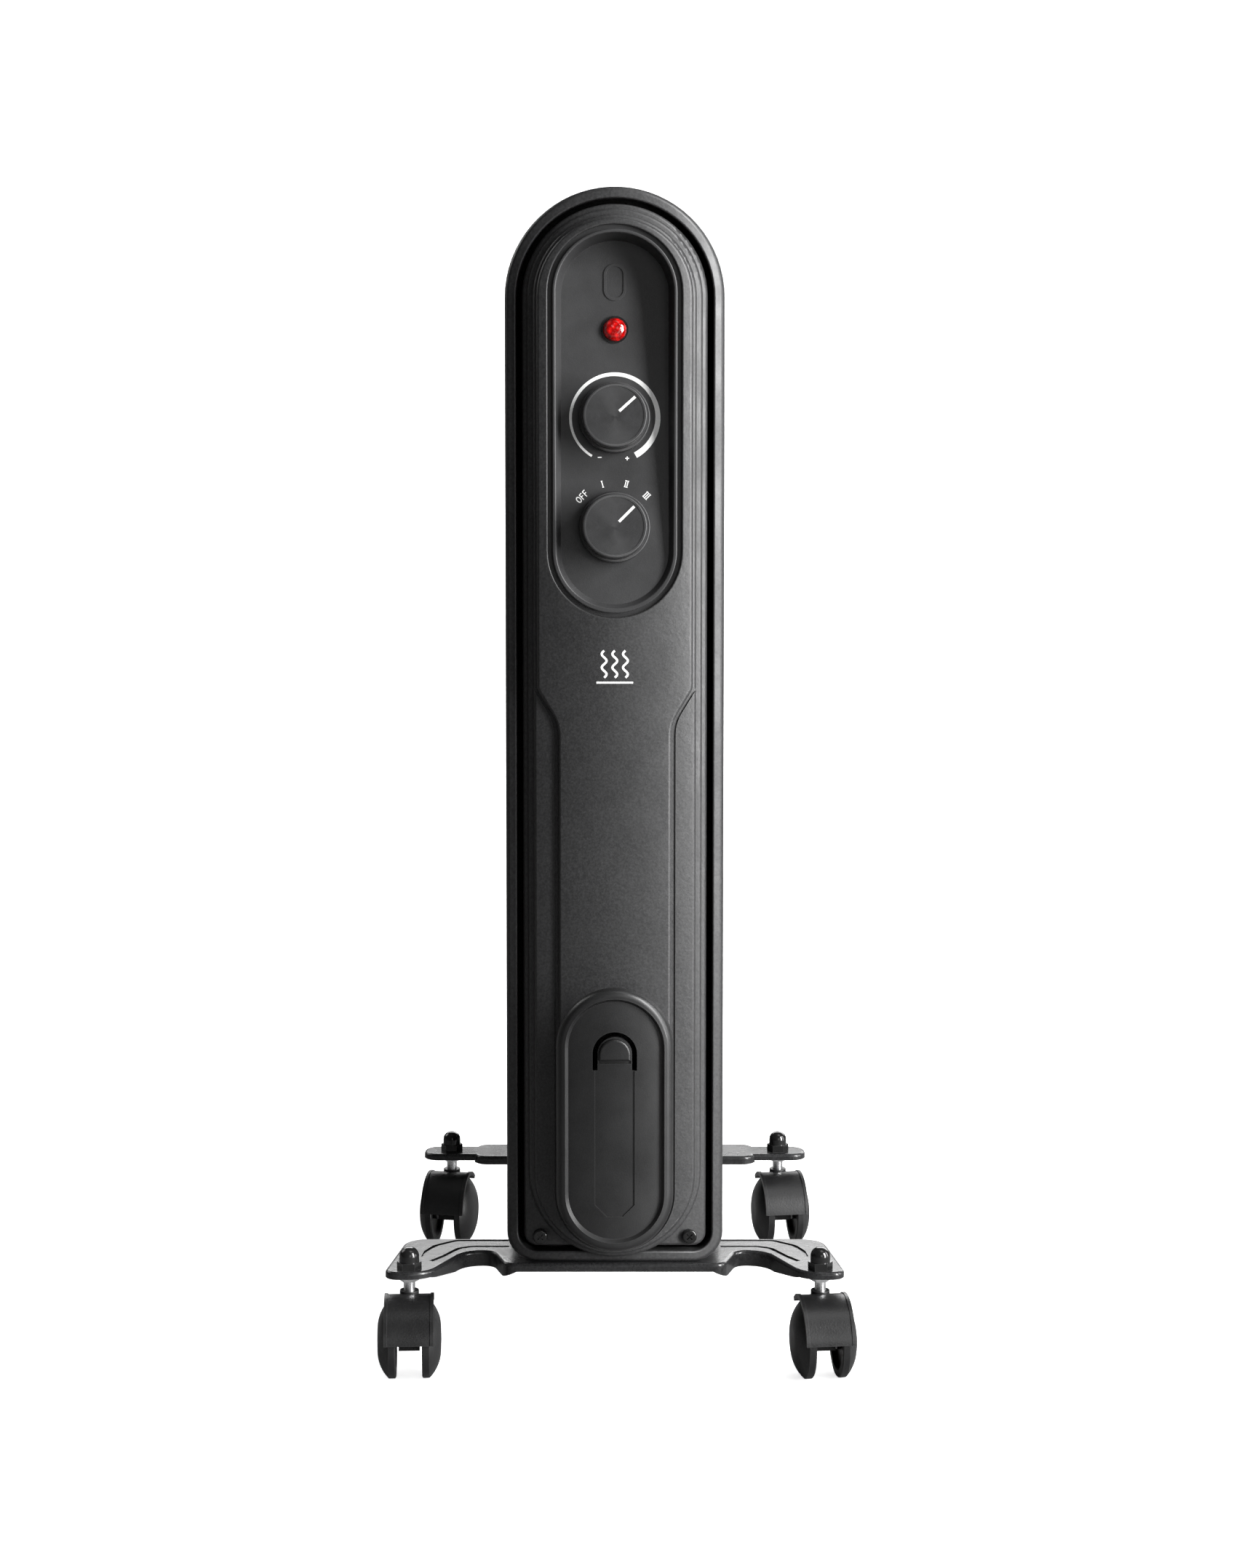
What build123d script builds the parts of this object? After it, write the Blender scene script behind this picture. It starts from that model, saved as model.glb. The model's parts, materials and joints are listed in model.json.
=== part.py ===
from build123d import *

import os
from math import cos, radians, sin

# ---------------------------------------------------------------------------
# Oil filled column radiator on four twin-wheel casters.
# Frame: +X to the right, +Y from the control end to the rear, +Z up.
# The origin lies on the floor, under the middle of the heater. All sizes in mm.
# ---------------------------------------------------------------------------

# Overall sizes
overall_length = 346.0
overall_height = 620.0
column_width = 114.0
column_bottom = 55.0  # underside of the fins and of the casing, resting on the feet
column_corner = 16.0

# Depths of the control end, counted from the front of the cord wrap
wrap_reach = 34.0
casing_depth = 50.0
front_y = -overall_length / 2
face_y = front_y + wrap_reach
casing_back_y = face_y + casing_depth
lip_y = face_y + 12.0
sheet = 1.2

# Oil column
fin_count = 7
fin_pitch = 38.0
first_fin_y = casing_back_y + 20.0
fin_half_depth = 7.5
fin_sheet = 0.8
seam_width = 6.5
seam_thickness = 1.6
gallery_low_z = 100.0
gallery_high_z = 566.0
neck_radius = 20.0
neck_bore = neck_radius - fin_sheet

# Feet and casters
plate_top = column_bottom
plate_sheet = 1.6
plate_bottom = plate_top - plate_sheet
stem_radius = 3.0
running_gap = 0.05
front_bolt_x = 108.0
rear_bolt_x = 99.5
front_bolt_y = face_y
rear_bolt_y = first_fin_y + 4.5 * fin_pitch
wheel_radius = 20.0
hood_radius = 23.5
caster_trail = 8.0
caster_places = {
    "front_left": (-front_bolt_x, front_bolt_y, 3.0),
    "front_right": (front_bolt_x, front_bolt_y, 7.0),
    "rear_left": (-rear_bolt_x, rear_bolt_y, -9.0),
    "rear_right": (rear_bolt_x, rear_bolt_y, 8.0),
}

# Control panel: a stadium insert whose floor leans back
panel_half = 32.2
panel_low = 400.4
panel_high = 597.6
panel_gap = 2.4
panel_tilt = 5.0
floor_half = 27.9
floor_low_z = 405.0
floor_high_z = 592.5
floor_low_depth = 1.6
thermostat_z = 501.0
mode_z = 444.5
lens_z = 546.5
badge_z = 571.0
knob_radius = 18.4
knob_skirt = 4.5
knob_cap_radius = 17.1
knob_height = 16.0
knob_lift = 0.8
shaft_radius = 3.0

# Cord wrap
wrap_half = 30.0
wrap_low = 74.0
wrap_high = 210.0
wrap_thickness = 8.0

os.makedirs("parts", exist_ok=True)


def facing(y):
    """Plane at depth y that looks to the front: sketch x is X, sketch y is Z."""
    return Plane.XZ.offset(-y)


def arch(half, low, high, corner):
    """Outline with a half-round top and two rounded lower corners."""
    with BuildSketch() as outline:
        with Locations((0, high - half)):
            Circle(half)
        with Locations((0, low)):
            Rectangle(2 * half, high - half - low, align=(Align.CENTER, Align.MIN))
        fillet(outline.vertices().group_by(Axis.Y)[0], corner)
    return outline.sketch


def pill(half, low, high):
    """Upright outline with two half-round ends."""
    with BuildSketch() as outline:
        with Locations((0, (low + high) / 2)):
            SlotOverall(high - low, 2 * half, rotation=90)
    return outline.sketch


def panel_outline(margin):
    """Outline of the control panel, widened on every side by the margin."""
    return pill(panel_half + margin, panel_low - margin, panel_high + margin)


def save(piece, name):
    """Labels a finished piece and writes it to its own file."""
    piece.part.label = name
    export_step(piece.part, f"parts/{name}.step")


def panel_plane(z, lift=0.0):
    """Plane on the panel's leaning floor at height z, lifted along its normal."""
    lean = radians(panel_tilt)
    depth = floor_low_depth + (z - floor_low_z) * sin(lean) / cos(lean)
    normal = Vector(0, -cos(lean), sin(lean))
    foot = Vector(0, face_y + depth, z)
    return Plane(origin=foot + normal * lift, x_dir=(1, 0, 0), z_dir=normal)


# ---------------------------------------------------------------------------
# Oil column: seven pressed fins, the necks that join them and their end caps
# ---------------------------------------------------------------------------

channel_half = column_width / 2 - seam_width
channel_low = column_bottom + seam_width
channel_high = overall_height - seam_width
web_half = 11.0
web_low = 152.0
web_high = 514.0
window_half = 5.0


def oil_space(inset):
    """Loop of oil channels around the web, shrunk on every side by the inset."""
    with BuildPart() as loop:
        with BuildSketch(facing(fin_half_depth - inset)):
            add(arch(channel_half - inset, channel_low + inset, channel_high - inset, 12.0 - inset))
            add(pill(web_half + inset, web_low - inset, web_high + inset), mode=Mode.SUBTRACT)
        extrude(amount=2 * (fin_half_depth - inset))
        ends = loop.edges().filter_by(lambda e: abs(abs(e.center().Y) - fin_half_depth + inset) < 1e-3)
        fillet(ends, 5.6 - inset)
    return loop.part


with BuildPart() as fin_pressing:
    with BuildSketch(facing(seam_thickness / 2)):
        add(arch(column_width / 2, column_bottom, overall_height, column_corner))
        add(pill(window_half, web_low + 14, web_high - 14), mode=Mode.SUBTRACT)
    extrude(amount=seam_thickness)
    add(oil_space(0.0))
    add(oil_space(fin_sheet), mode=Mode.SUBTRACT)
    with BuildSketch(facing(fin_half_depth)):
        with Locations((0, gallery_low_z), (0, gallery_high_z)):
            Circle(neck_bore)
    extrude(amount=2 * fin_half_depth, mode=Mode.SUBTRACT)

for number in range(1, fin_count + 1):
    with BuildPart() as fin:
        with Locations((0, first_fin_y + (number - 1) * fin_pitch, 0)):
            add(fin_pressing.part)
    save(fin, f"fin_{number}")

neck_length = fin_pitch - 2 * fin_half_depth


column_front_y = first_fin_y - fin_half_depth
column_rear_y = first_fin_y + (fin_count - 1) * fin_pitch + fin_half_depth
socket_front_y = casing_back_y - 3.0


def gallery_necks(height, has_socket):
    """Row of short tubes between the fins, with the element's socket if wanted."""
    fin_backs = [first_fin_y + gap * fin_pitch + fin_half_depth for gap in range(fin_count - 1)]
    tubes = [(near, near + neck_length) for near in fin_backs]
    if has_socket:
        tubes.append((socket_front_y, column_front_y))
    with BuildPart() as necks:
        for near, far in tubes:
            with BuildSketch(facing(far)):
                with Locations((0, height)):
                    Circle(neck_radius)
                    Circle(neck_bore, mode=Mode.SUBTRACT)
            extrude(amount=far - near)
    return necks


save(gallery_necks(gallery_high_z, False), "upper_necks")
save(gallery_necks(gallery_low_z, True), "lower_necks")

cap_height = 4.5
with BuildPart() as gallery_caps:
    for height in (gallery_low_z, gallery_high_z):
        with BuildSketch(facing(column_rear_y + cap_height)):
            with Locations((0, height)):
                Circle(neck_radius + 2)
        extrude(amount=cap_height)
    with BuildSketch(facing(column_front_y)):
        with Locations((0, gallery_high_z)):
            Circle(neck_radius + 2)
    extrude(amount=cap_height)
    rims = gallery_caps.edges().filter_by(
        lambda e: e.center().Y > column_rear_y + 1 or e.center().Y < column_front_y - 1
    )
    fillet(rims, 3.0)
save(gallery_caps, "gallery_caps")

with BuildPart() as filler_plug:
    with BuildSketch(facing(column_rear_y + cap_height + 2.0)):
        with Locations((0, gallery_low_z)):
            RegularPolygon(6.5, 6)
    extrude(amount=2.0)
    chamfer(filler_plug.faces().sort_by(Axis.Y)[-1].edges(), 0.6)
save(filler_plug, "filler_plug")


# ---------------------------------------------------------------------------
# Heating elements in the lower gallery, their flange and the thermal cut-out
# ---------------------------------------------------------------------------

rod_radius = 4.0
rod_spread = 8.0


def hairpin(height, reach):
    """U-bent heating rod that lies in a level plane."""
    start_y = socket_front_y - 14.0
    with BuildPart() as rod:
        with BuildLine() as route:
            Line((-rod_spread, start_y, height), (-rod_spread, reach, height))
            ThreePointArc(
                (-rod_spread, reach, height),
                (0, reach + rod_spread, height),
                (rod_spread, reach, height),
            )
            Line((rod_spread, reach, height), (rod_spread, start_y, height))
        with BuildSketch(Plane(origin=(-rod_spread, start_y, height), z_dir=(0, 1, 0))):
            Circle(rod_radius)
        sweep(path=route.line)
    return rod


save(hairpin(gallery_low_z + 7, 120.0), "heating_element_large")
save(hairpin(gallery_low_z - 7, 40.0), "heating_element_small")

flange_thickness = 4.0
gasket_thickness = 1.5
with BuildPart() as element_gasket:
    with BuildSketch(facing(socket_front_y)):
        with Locations((0, gallery_low_z)):
            Circle(neck_radius + 3)
            Circle(neck_bore, mode=Mode.SUBTRACT)
    extrude(amount=gasket_thickness)
save(element_gasket, "element_gasket")

flange_y = socket_front_y - gasket_thickness
with BuildPart() as element_flange:
    with BuildSketch(facing(flange_y)):
        with Locations((0, gallery_low_z)):
            RegularPolygon(neck_radius + 6, 6)
    extrude(amount=flange_thickness)
    rods = [(x, gallery_low_z + dz) for x in (-rod_spread, rod_spread) for dz in (-7, 7)]
    with BuildSketch(facing(flange_y)):
        with Locations(*rods):
            Circle(rod_radius)
    extrude(amount=flange_thickness, mode=Mode.SUBTRACT)
save(element_flange, "element_flange")

with BuildPart() as thermal_cutout:
    with BuildSketch(facing(casing_back_y - sheet)):
        with Locations((0, 180)):
            Circle(8)
    extrude(amount=7)
    with BuildSketch(facing(casing_back_y - sheet)):
        with Locations((0, 180)):
            SlotOverall(30, 10)
    extrude(amount=1.5)
    with BuildSketch(facing(casing_back_y - sheet - 7)):
        with Locations((-4, 180), (4, 180)):
            Rectangle(1, 6)
    extrude(amount=8)
save(thermal_cutout, "thermal_cutout")


# ---------------------------------------------------------------------------
# Control casing: side shell with a rolled front lip, back plate, front cover
# ---------------------------------------------------------------------------

opening_half = 51.2
lip_return = 8.0
inlet_x = -32.0
inlet_y = casing_back_y - 20.0
inlet_radius = 7.0
low_stud_z = 132.0
high_stud_z = 520.0
stud_x = 38.0
stud_spots = [(x, z) for x in (-stud_x, stud_x) for z in (low_stud_z, high_stud_z)]
foot_screw_x = 20.0
foot_screw_radius = 1.75
foot_screw_rows = (lip_y + 10.0, casing_back_y - 7.0)
foot_screw_spots = [(x, y) for x in (-foot_screw_x, foot_screw_x) for y in foot_screw_rows]
cover_screw_spots = [(-39.5, 69.4), (39.5, 69.4)]
cover_screw_radius = 1.9


def column_outline(inset):
    """The column's outline, shrunk on every side by the inset."""
    return arch(
        column_width / 2 - inset,
        column_bottom + inset,
        overall_height - inset,
        column_corner - inset,
    )


opening_inset = column_width / 2 - opening_half

with BuildPart() as casing_shell:
    with BuildSketch(facing(casing_back_y)):
        add(column_outline(0))
    extrude(amount=casing_back_y - lip_y)
    fillet(casing_shell.faces().sort_by(Axis.Y)[0].edges(), 2.2)
    with BuildSketch(facing(casing_back_y)):
        add(column_outline(sheet))
    extrude(amount=casing_back_y - lip_y - sheet, mode=Mode.SUBTRACT)
    with BuildSketch(facing(lip_y + lip_return)):
        add(column_outline(opening_inset - sheet))
    extrude(amount=lip_return - sheet)
    with BuildSketch(facing(lip_y + lip_return)):
        add(column_outline(opening_inset))
    extrude(amount=lip_return, mode=Mode.SUBTRACT)
    front_lip = casing_shell.faces().filter_by(Axis.Y).sort_by(Axis.Y)[0]
    fillet(front_lip.inner_wires().edges(), 1.0)
    # Holes for the foot screws and for the cord bush
    with BuildSketch(Plane.XY.offset(column_bottom)):
        with Locations(*foot_screw_spots):
            Circle(foot_screw_radius)
        with Locations((inlet_x, inlet_y)):
            Circle(inlet_radius)
    extrude(amount=sheet, mode=Mode.SUBTRACT)
save(casing_shell, "casing_shell")

with BuildPart() as casing_back:
    with BuildSketch(facing(casing_back_y)):
        add(column_outline(sheet))
        with Locations((0, gallery_low_z)):
            Circle(neck_radius, mode=Mode.SUBTRACT)
        with Locations(*stud_spots):
            Circle(2.5, mode=Mode.SUBTRACT)
        with Locations(*cover_screw_spots):
            Circle(cover_screw_radius, mode=Mode.SUBTRACT)
    extrude(amount=sheet)
save(casing_back, "casing_back")

stud_gap = casing_back_y - column_front_y
with BuildPart() as casing_studs:
    with BuildSketch(facing(column_front_y)):
        with Locations(*stud_spots):
            Circle(4.5)
    extrude(amount=-stud_gap)
    with BuildSketch(facing(casing_back_y)):
        with Locations(*stud_spots):
            Circle(2.5)
    extrude(amount=9)
save(casing_studs, "casing_studs")

with BuildPart() as casing_stud_nuts:
    with BuildSketch(facing(casing_back_y - sheet)):
        with Locations(*stud_spots):
            RegularPolygon(4.6, 6)
            Circle(2.5, mode=Mode.SUBTRACT)
    extrude(amount=4)
save(casing_stud_nuts, "casing_stud_nuts")

# Steps of the cover: outline, its depth behind the face, and its rounding
rim_half = 48.0
rim_low = column_bottom + column_width / 2 - rim_half
rim_high = overall_height - column_width / 2 + rim_half
rim_depth = 11.0
step_half = 45.4
step_low = 59.0
step_depth = 7.4
shoulder_half = 42.2
shoulder_depth = 3.4
shoulder_low = 62.0
step_back = 11.7
arch_z = overall_height - column_width / 2
face_half = 40.4
narrow_half = 29.4
narrow_low = 65.0
neck_top_z = 361.0
neck_bottom_z = 343.0


def face_outline(inset):
    """Centre face: wide around the panel, narrow below it, shrunk by the inset."""
    wide = face_half - inset
    slim = narrow_half - inset
    with BuildSketch() as outline:
        with BuildLine():
            side = FilletPolyline(
                (wide, arch_z),
                (wide, neck_top_z),
                (slim, neck_bottom_z),
                (slim, narrow_low + narrow_half),
                radius=(8.0, 22.0),
            )
            mirror(side, about=Plane.YZ)
            ThreePointArc((wide, arch_z), (0, arch_z + wide), (-wide, arch_z))
            ThreePointArc(
                (slim, narrow_low + narrow_half),
                (0, narrow_low + narrow_half - slim),
                (-slim, narrow_low + narrow_half),
            )
        make_face()
    return outline.sketch


def slab(outline, front, back, rounding):
    """Plate between two depths behind the face, with its front edge rounded."""
    with BuildPart() as plate:
        with BuildSketch(facing(face_y + back)):
            add(outline)
        extrude(amount=back - front)
        if rounding:
            fillet(plate.faces().sort_by(Axis.Y)[0].edges(), rounding)
    return plate.part


def cover_steps(inset, rounding):
    """The cover's stepped solid, shrunk by the inset and with rounded steps."""
    rim = arch(rim_half - inset, rim_low + inset, rim_high - inset, 7.0)
    step = pill(step_half - inset, step_low + inset, arch_z + step_half - inset)
    shoulder = pill(shoulder_half - inset, shoulder_low + inset, arch_z + shoulder_half - inset)
    throat = pill(step_half - inset, rim_low + inset, arch_z + step_half - inset)
    with BuildPart() as stack:
        add(slab(rim, rim_depth + inset, casing_depth - sheet, rounding))
        add(slab(step, step_depth + inset, step_back - inset, rounding))
        add(slab(throat, step_back - inset - 1, rim_depth + 3, 0))
        add(slab(shoulder, shoulder_depth + inset, step_depth + 3, rounding))
        add(slab(face_outline(inset), inset, shoulder_depth + 3, rounding))
    return stack.part


groove_width = 2.2
groove_depth = 0.7
collar_depth = 3.2
collar_rounding = 0.8
hub_half = 17.0
hub_low = 92.0
hub_high = 192.0
hub_screw_z = (112.0, 172.0)

with BuildPart() as casing_cover:
    add(cover_steps(0.0, 1.6))
    add(cover_steps(sheet, 0), mode=Mode.SUBTRACT)
    # Opening for the control panel, with its edge turned inwards as a collar
    with BuildSketch(facing(face_y + collar_depth)):
        add(panel_outline(panel_gap + sheet))
    extrude(amount=collar_depth - sheet / 2)
    with BuildSketch(facing(face_y + collar_depth)):
        add(panel_outline(panel_gap))
    extrude(amount=2 * collar_depth, mode=Mode.SUBTRACT)
    centre_face = casing_cover.faces().filter_by(Axis.Y).sort_by(Axis.Y)[0]
    fillet(centre_face.inner_wires().edges(), collar_rounding)
    # Groove that runs beside the narrow part of the centre face
    with BuildSketch(facing(face_y + shoulder_depth + groove_depth)):
        add(face_outline(-groove_width))
        add(face_outline(0), mode=Mode.SUBTRACT)
        with Locations((0, neck_top_z)):
            Rectangle(200, 400, align=(Align.CENTER, Align.MIN), mode=Mode.SUBTRACT)
    extrude(amount=groove_depth + 0.2, mode=Mode.SUBTRACT)
    # Holes for the corner screws and for the screws of the cord wrap
    with BuildSketch(facing(face_y + rim_depth + 5)):
        with Locations(*cover_screw_spots):
            Circle(cover_screw_radius)
    extrude(amount=8, mode=Mode.SUBTRACT)
    with BuildSketch(facing(face_y + shoulder_depth)):
        with Locations(*[(0, z) for z in hub_screw_z]):
            Circle(cover_screw_radius)
    extrude(amount=2 * shoulder_depth, mode=Mode.SUBTRACT)
save(casing_cover, "casing_cover")

web_y = face_y + rim_depth
with BuildPart() as casing_screws:
    with BuildSketch(facing(web_y)):
        with Locations(*cover_screw_spots):
            Circle(3.9)
    extrude(amount=2.4)
    heads = casing_screws.faces().filter_by(Axis.Y).group_by(Axis.Y)[0]
    fillet(heads.edges(), 1.1)
    with BuildSketch(facing(web_y - 2.4)):
        for turn in (0, 90):
            with Locations(*cover_screw_spots):
                Rectangle(4.2, 0.9, rotation=turn + 45)
    extrude(amount=-1.3, mode=Mode.SUBTRACT)
    with BuildSketch(facing(web_y)):
        with Locations(*cover_screw_spots):
            Circle(cover_screw_radius)
    extrude(amount=web_y - casing_back_y - 2)
save(casing_screws, "casing_screws")


# ---------------------------------------------------------------------------
# Control panel with its lens, knobs, thermostat and mode switch
# ---------------------------------------------------------------------------

panel_depth = 26.0
panel_proud = 0.4
panel_rounding = 0.7
floor_sheet = 2.4
panel_wall = 2.6
pocket_rim = 1.7
flange_margin = panel_gap + sheet + 0.4
flange_sheet = 2.0
floor_mid_z = (floor_low_z + floor_high_z) / 2
floor_length = (floor_high_z - floor_low_z) / cos(radians(panel_tilt))

with BuildPart() as panel_pocket:
    with BuildSketch(panel_plane(floor_mid_z)):
        SlotOverall(floor_length, 2 * floor_half, rotation=90)
    with BuildSketch(facing(face_y - 1)):
        add(panel_outline(-pocket_rim))
    loft()

with BuildPart() as panel_hollow:
    with BuildSketch(facing(face_y + panel_depth)):
        add(panel_outline(-panel_wall))
    extrude(amount=panel_depth)
    split(bisect_by=panel_plane(floor_low_z, -floor_sheet), keep=Keep.BOTTOM)

with BuildPart() as control_panel:
    with BuildSketch(facing(face_y + panel_depth)):
        add(panel_outline(0))
    extrude(amount=panel_depth + panel_proud)
    with BuildSketch(facing(face_y + collar_depth + flange_sheet)):
        add(panel_outline(flange_margin))
    extrude(amount=flange_sheet)
    add(panel_pocket.part, mode=Mode.SUBTRACT)
    fillet(control_panel.faces().filter_by(Axis.Y).sort_by(Axis.Y)[0].edges(), panel_rounding)
    add(panel_hollow.part, mode=Mode.SUBTRACT)
    # Raised outline of the unused timer window
    with BuildSketch(panel_plane(badge_z)):
        SlotOverall(19, 11.4, rotation=90)
        SlotOverall(16.6, 9.0, rotation=90, mode=Mode.SUBTRACT)
    extrude(amount=0.6)
    for height, radius in ((lens_z, 5.0), (thermostat_z, 4.6), (mode_z, 4.6)):
        with BuildSketch(panel_plane(height, 2)):
            Circle(radius)
        extrude(amount=-8, mode=Mode.SUBTRACT)
save(control_panel, "control_panel")

with BuildPart() as indicator_lens:
    with BuildSketch(panel_plane(lens_z)):
        Circle(6.1)
    extrude(amount=4.2)
    fillet(indicator_lens.edges().sort_by(Axis.Y)[0], 3.9)
    with BuildSketch(panel_plane(lens_z)):
        Circle(5.0)
    extrude(amount=-8)
    with BuildSketch(panel_plane(lens_z, -8)):
        Circle(3.0)
    extrude(amount=9, mode=Mode.SUBTRACT)
save(indicator_lens, "indicator_lens")

with BuildPart() as indicator_lamp:
    with BuildSketch(panel_plane(lens_z, -12)):
        Circle(2.8)
    extrude(amount=12.4)
    fillet(indicator_lamp.edges().sort_by(Axis.Y)[0], 2.0)
save(indicator_lamp, "indicator_lamp")

pointer_turn = {"thermostat": 48.0, "mode": 45.0}
bush_radius = 4.6
shaft_inside = 17.5
shaft_outside = 13.0


def knob(height, turn):
    """Hollow dial with a dished face and a groove for its pointer line."""
    with BuildPart() as dial:
        with BuildSketch(panel_plane(height, knob_lift)):
            Circle(knob_radius)
        extrude(amount=knob_skirt)
        fillet(dial.faces().sort_by(Axis.Y)[0].edges(), 0.8)
        with BuildSketch(panel_plane(height, knob_lift)):
            Circle(knob_cap_radius)
        extrude(amount=knob_height, taper=1.8)
        fillet(dial.faces().sort_by(Axis.Y)[0].edges(), 0.9)
        with BuildSketch(panel_plane(height, knob_lift)):
            Circle(knob_radius - 3.2)
            Circle(6.0, mode=Mode.SUBTRACT)
        extrude(amount=knob_height - 3, mode=Mode.SUBTRACT)
        with BuildSketch(panel_plane(height, knob_lift)):
            Circle(shaft_radius)
        extrude(amount=shaft_outside - knob_lift, mode=Mode.SUBTRACT)
        with BuildSketch(panel_plane(height, knob_lift + knob_height)):
            Circle(knob_cap_radius - 2.0)
        extrude(amount=-0.4, mode=Mode.SUBTRACT)
        with BuildSketch(panel_plane(height, knob_lift + knob_height)):
            with Locations(Rotation(0, 0, -turn)):
                with Locations((0, 8.6)):
                    Rectangle(1.5, 11.6)
        extrude(amount=-0.8, mode=Mode.SUBTRACT)
    return dial


def shaft(height):
    """Spindle that the knob turns in its control's bush."""
    with BuildPart() as spindle:
        with BuildSketch(panel_plane(height, -floor_sheet - shaft_inside)):
            Circle(shaft_radius)
        extrude(amount=floor_sheet + shaft_inside + shaft_outside)
    return spindle


def control(height, outline, depth):
    """Control block behind the panel, with a bush that guides its shaft."""
    with BuildPart() as block:
        with BuildSketch(panel_plane(height, -floor_sheet)):
            add(outline)
        extrude(amount=-depth)
        with BuildSketch(panel_plane(height, -floor_sheet)):
            Circle(bush_radius)
        extrude(amount=floor_sheet)
        with BuildSketch(panel_plane(height)):
            Circle(shaft_radius + running_gap)
        extrude(amount=-floor_sheet - shaft_inside - 0.5, mode=Mode.SUBTRACT)
    return block


with BuildSketch() as thermostat_outline:
    RectangleRounded(34, 26, 2)
with BuildSketch() as switch_outline:
    Circle(16)
    with Locations((0, -12)):
        Rectangle(24, 10)

save(knob(thermostat_z, pointer_turn["thermostat"]), "thermostat_knob")
save(shaft(thermostat_z), "thermostat_shaft")
save(control(thermostat_z, thermostat_outline.sketch, 22), "thermostat")
save(knob(mode_z, pointer_turn["mode"]), "mode_knob")
save(shaft(mode_z), "mode_shaft")
save(control(mode_z, switch_outline.sketch, 20), "mode_switch")


# ---------------------------------------------------------------------------
# Mains connection: cord bush and terminal block
# ---------------------------------------------------------------------------

cord_radius = 4.0
bush_length = 14.0
bush_top = column_bottom + sheet + 5

with BuildPart() as cord_bush:
    with BuildSketch(Plane.XY.offset(bush_top)):
        with Locations((inlet_x, inlet_y)):
            Circle(inlet_radius)
    extrude(amount=-bush_length)
    with BuildSketch(Plane.XY.offset(column_bottom + sheet)):
        with Locations((inlet_x, inlet_y)):
            Circle(inlet_radius + 2)
    extrude(amount=1.6)
    chamfer(cord_bush.faces().sort_by(Axis.Z)[0].edges(), 1.2)
    with BuildSketch(Plane.XY.offset(bush_top)):
        with Locations((inlet_x, inlet_y)):
            Circle(cord_radius)
    extrude(amount=-bush_length, mode=Mode.SUBTRACT)
save(cord_bush, "cord_bush")

terminal_z = 240.0
terminal_y = casing_back_y - sheet
with BuildPart() as terminal_block:
    with BuildSketch(facing(terminal_y)):
        with Locations((0, terminal_z)):
            Rectangle(60, 22)
    extrude(amount=14)
    with BuildSketch(facing(terminal_y - 14)):
        with Locations((0, terminal_z)):
            with GridLocations(14, 0, 4, 1):
                Circle(2.2)
    extrude(amount=-6, mode=Mode.SUBTRACT)
save(terminal_block, "terminal_block")


# ---------------------------------------------------------------------------
# Cord wrap: hub on the cover, dished plate in front of it, fixing screws
# ---------------------------------------------------------------------------

plate_back_y = front_y + wrap_thickness
wrap_rim = 4.6
dish_depth = 2.2
strip_y = front_y + dish_depth + 0.7

with BuildPart() as cord_wrap_hub:
    with BuildSketch(facing(face_y)):
        add(pill(hub_half, hub_low, hub_high))
        with Locations(*[(0, z) for z in hub_screw_z]):
            Circle(cover_screw_radius, mode=Mode.SUBTRACT)
    extrude(amount=face_y - plate_back_y)
    with BuildSketch(facing(face_y - 3)):
        add(pill(hub_half - 2.5, hub_low + 2.5, hub_high - 2.5))
        with Locations(*[(0, z) for z in hub_screw_z]):
            Circle(4.5, mode=Mode.SUBTRACT)
    extrude(amount=face_y - 3 - plate_back_y, mode=Mode.SUBTRACT)
save(cord_wrap_hub, "cord_wrap_hub")

slot_half = 11.4
slot_width = 2.6
slot_top = 188.0
slot_low = 168.0
tab_low = 173.4
tongue_half = 10.2
tongue_low = 92.0
tongue_facet = 6.0
ledge_half = 8.4
ledge_height = 1.9
ledge_depth = 1.0


def tombstone(half, low, high):
    """Outline with a half-round top and a flat base."""
    with BuildSketch() as outline:
        with Locations((0, high - half)):
            Circle(half)
        with Locations((0, low)):
            Rectangle(2 * half, high - half - low, align=(Align.CENTER, Align.MIN))
        with Locations((0, low)):
            Rectangle(4 * half, 4 * half, align=(Align.CENTER, Align.MAX), mode=Mode.SUBTRACT)
    return outline.sketch


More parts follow.
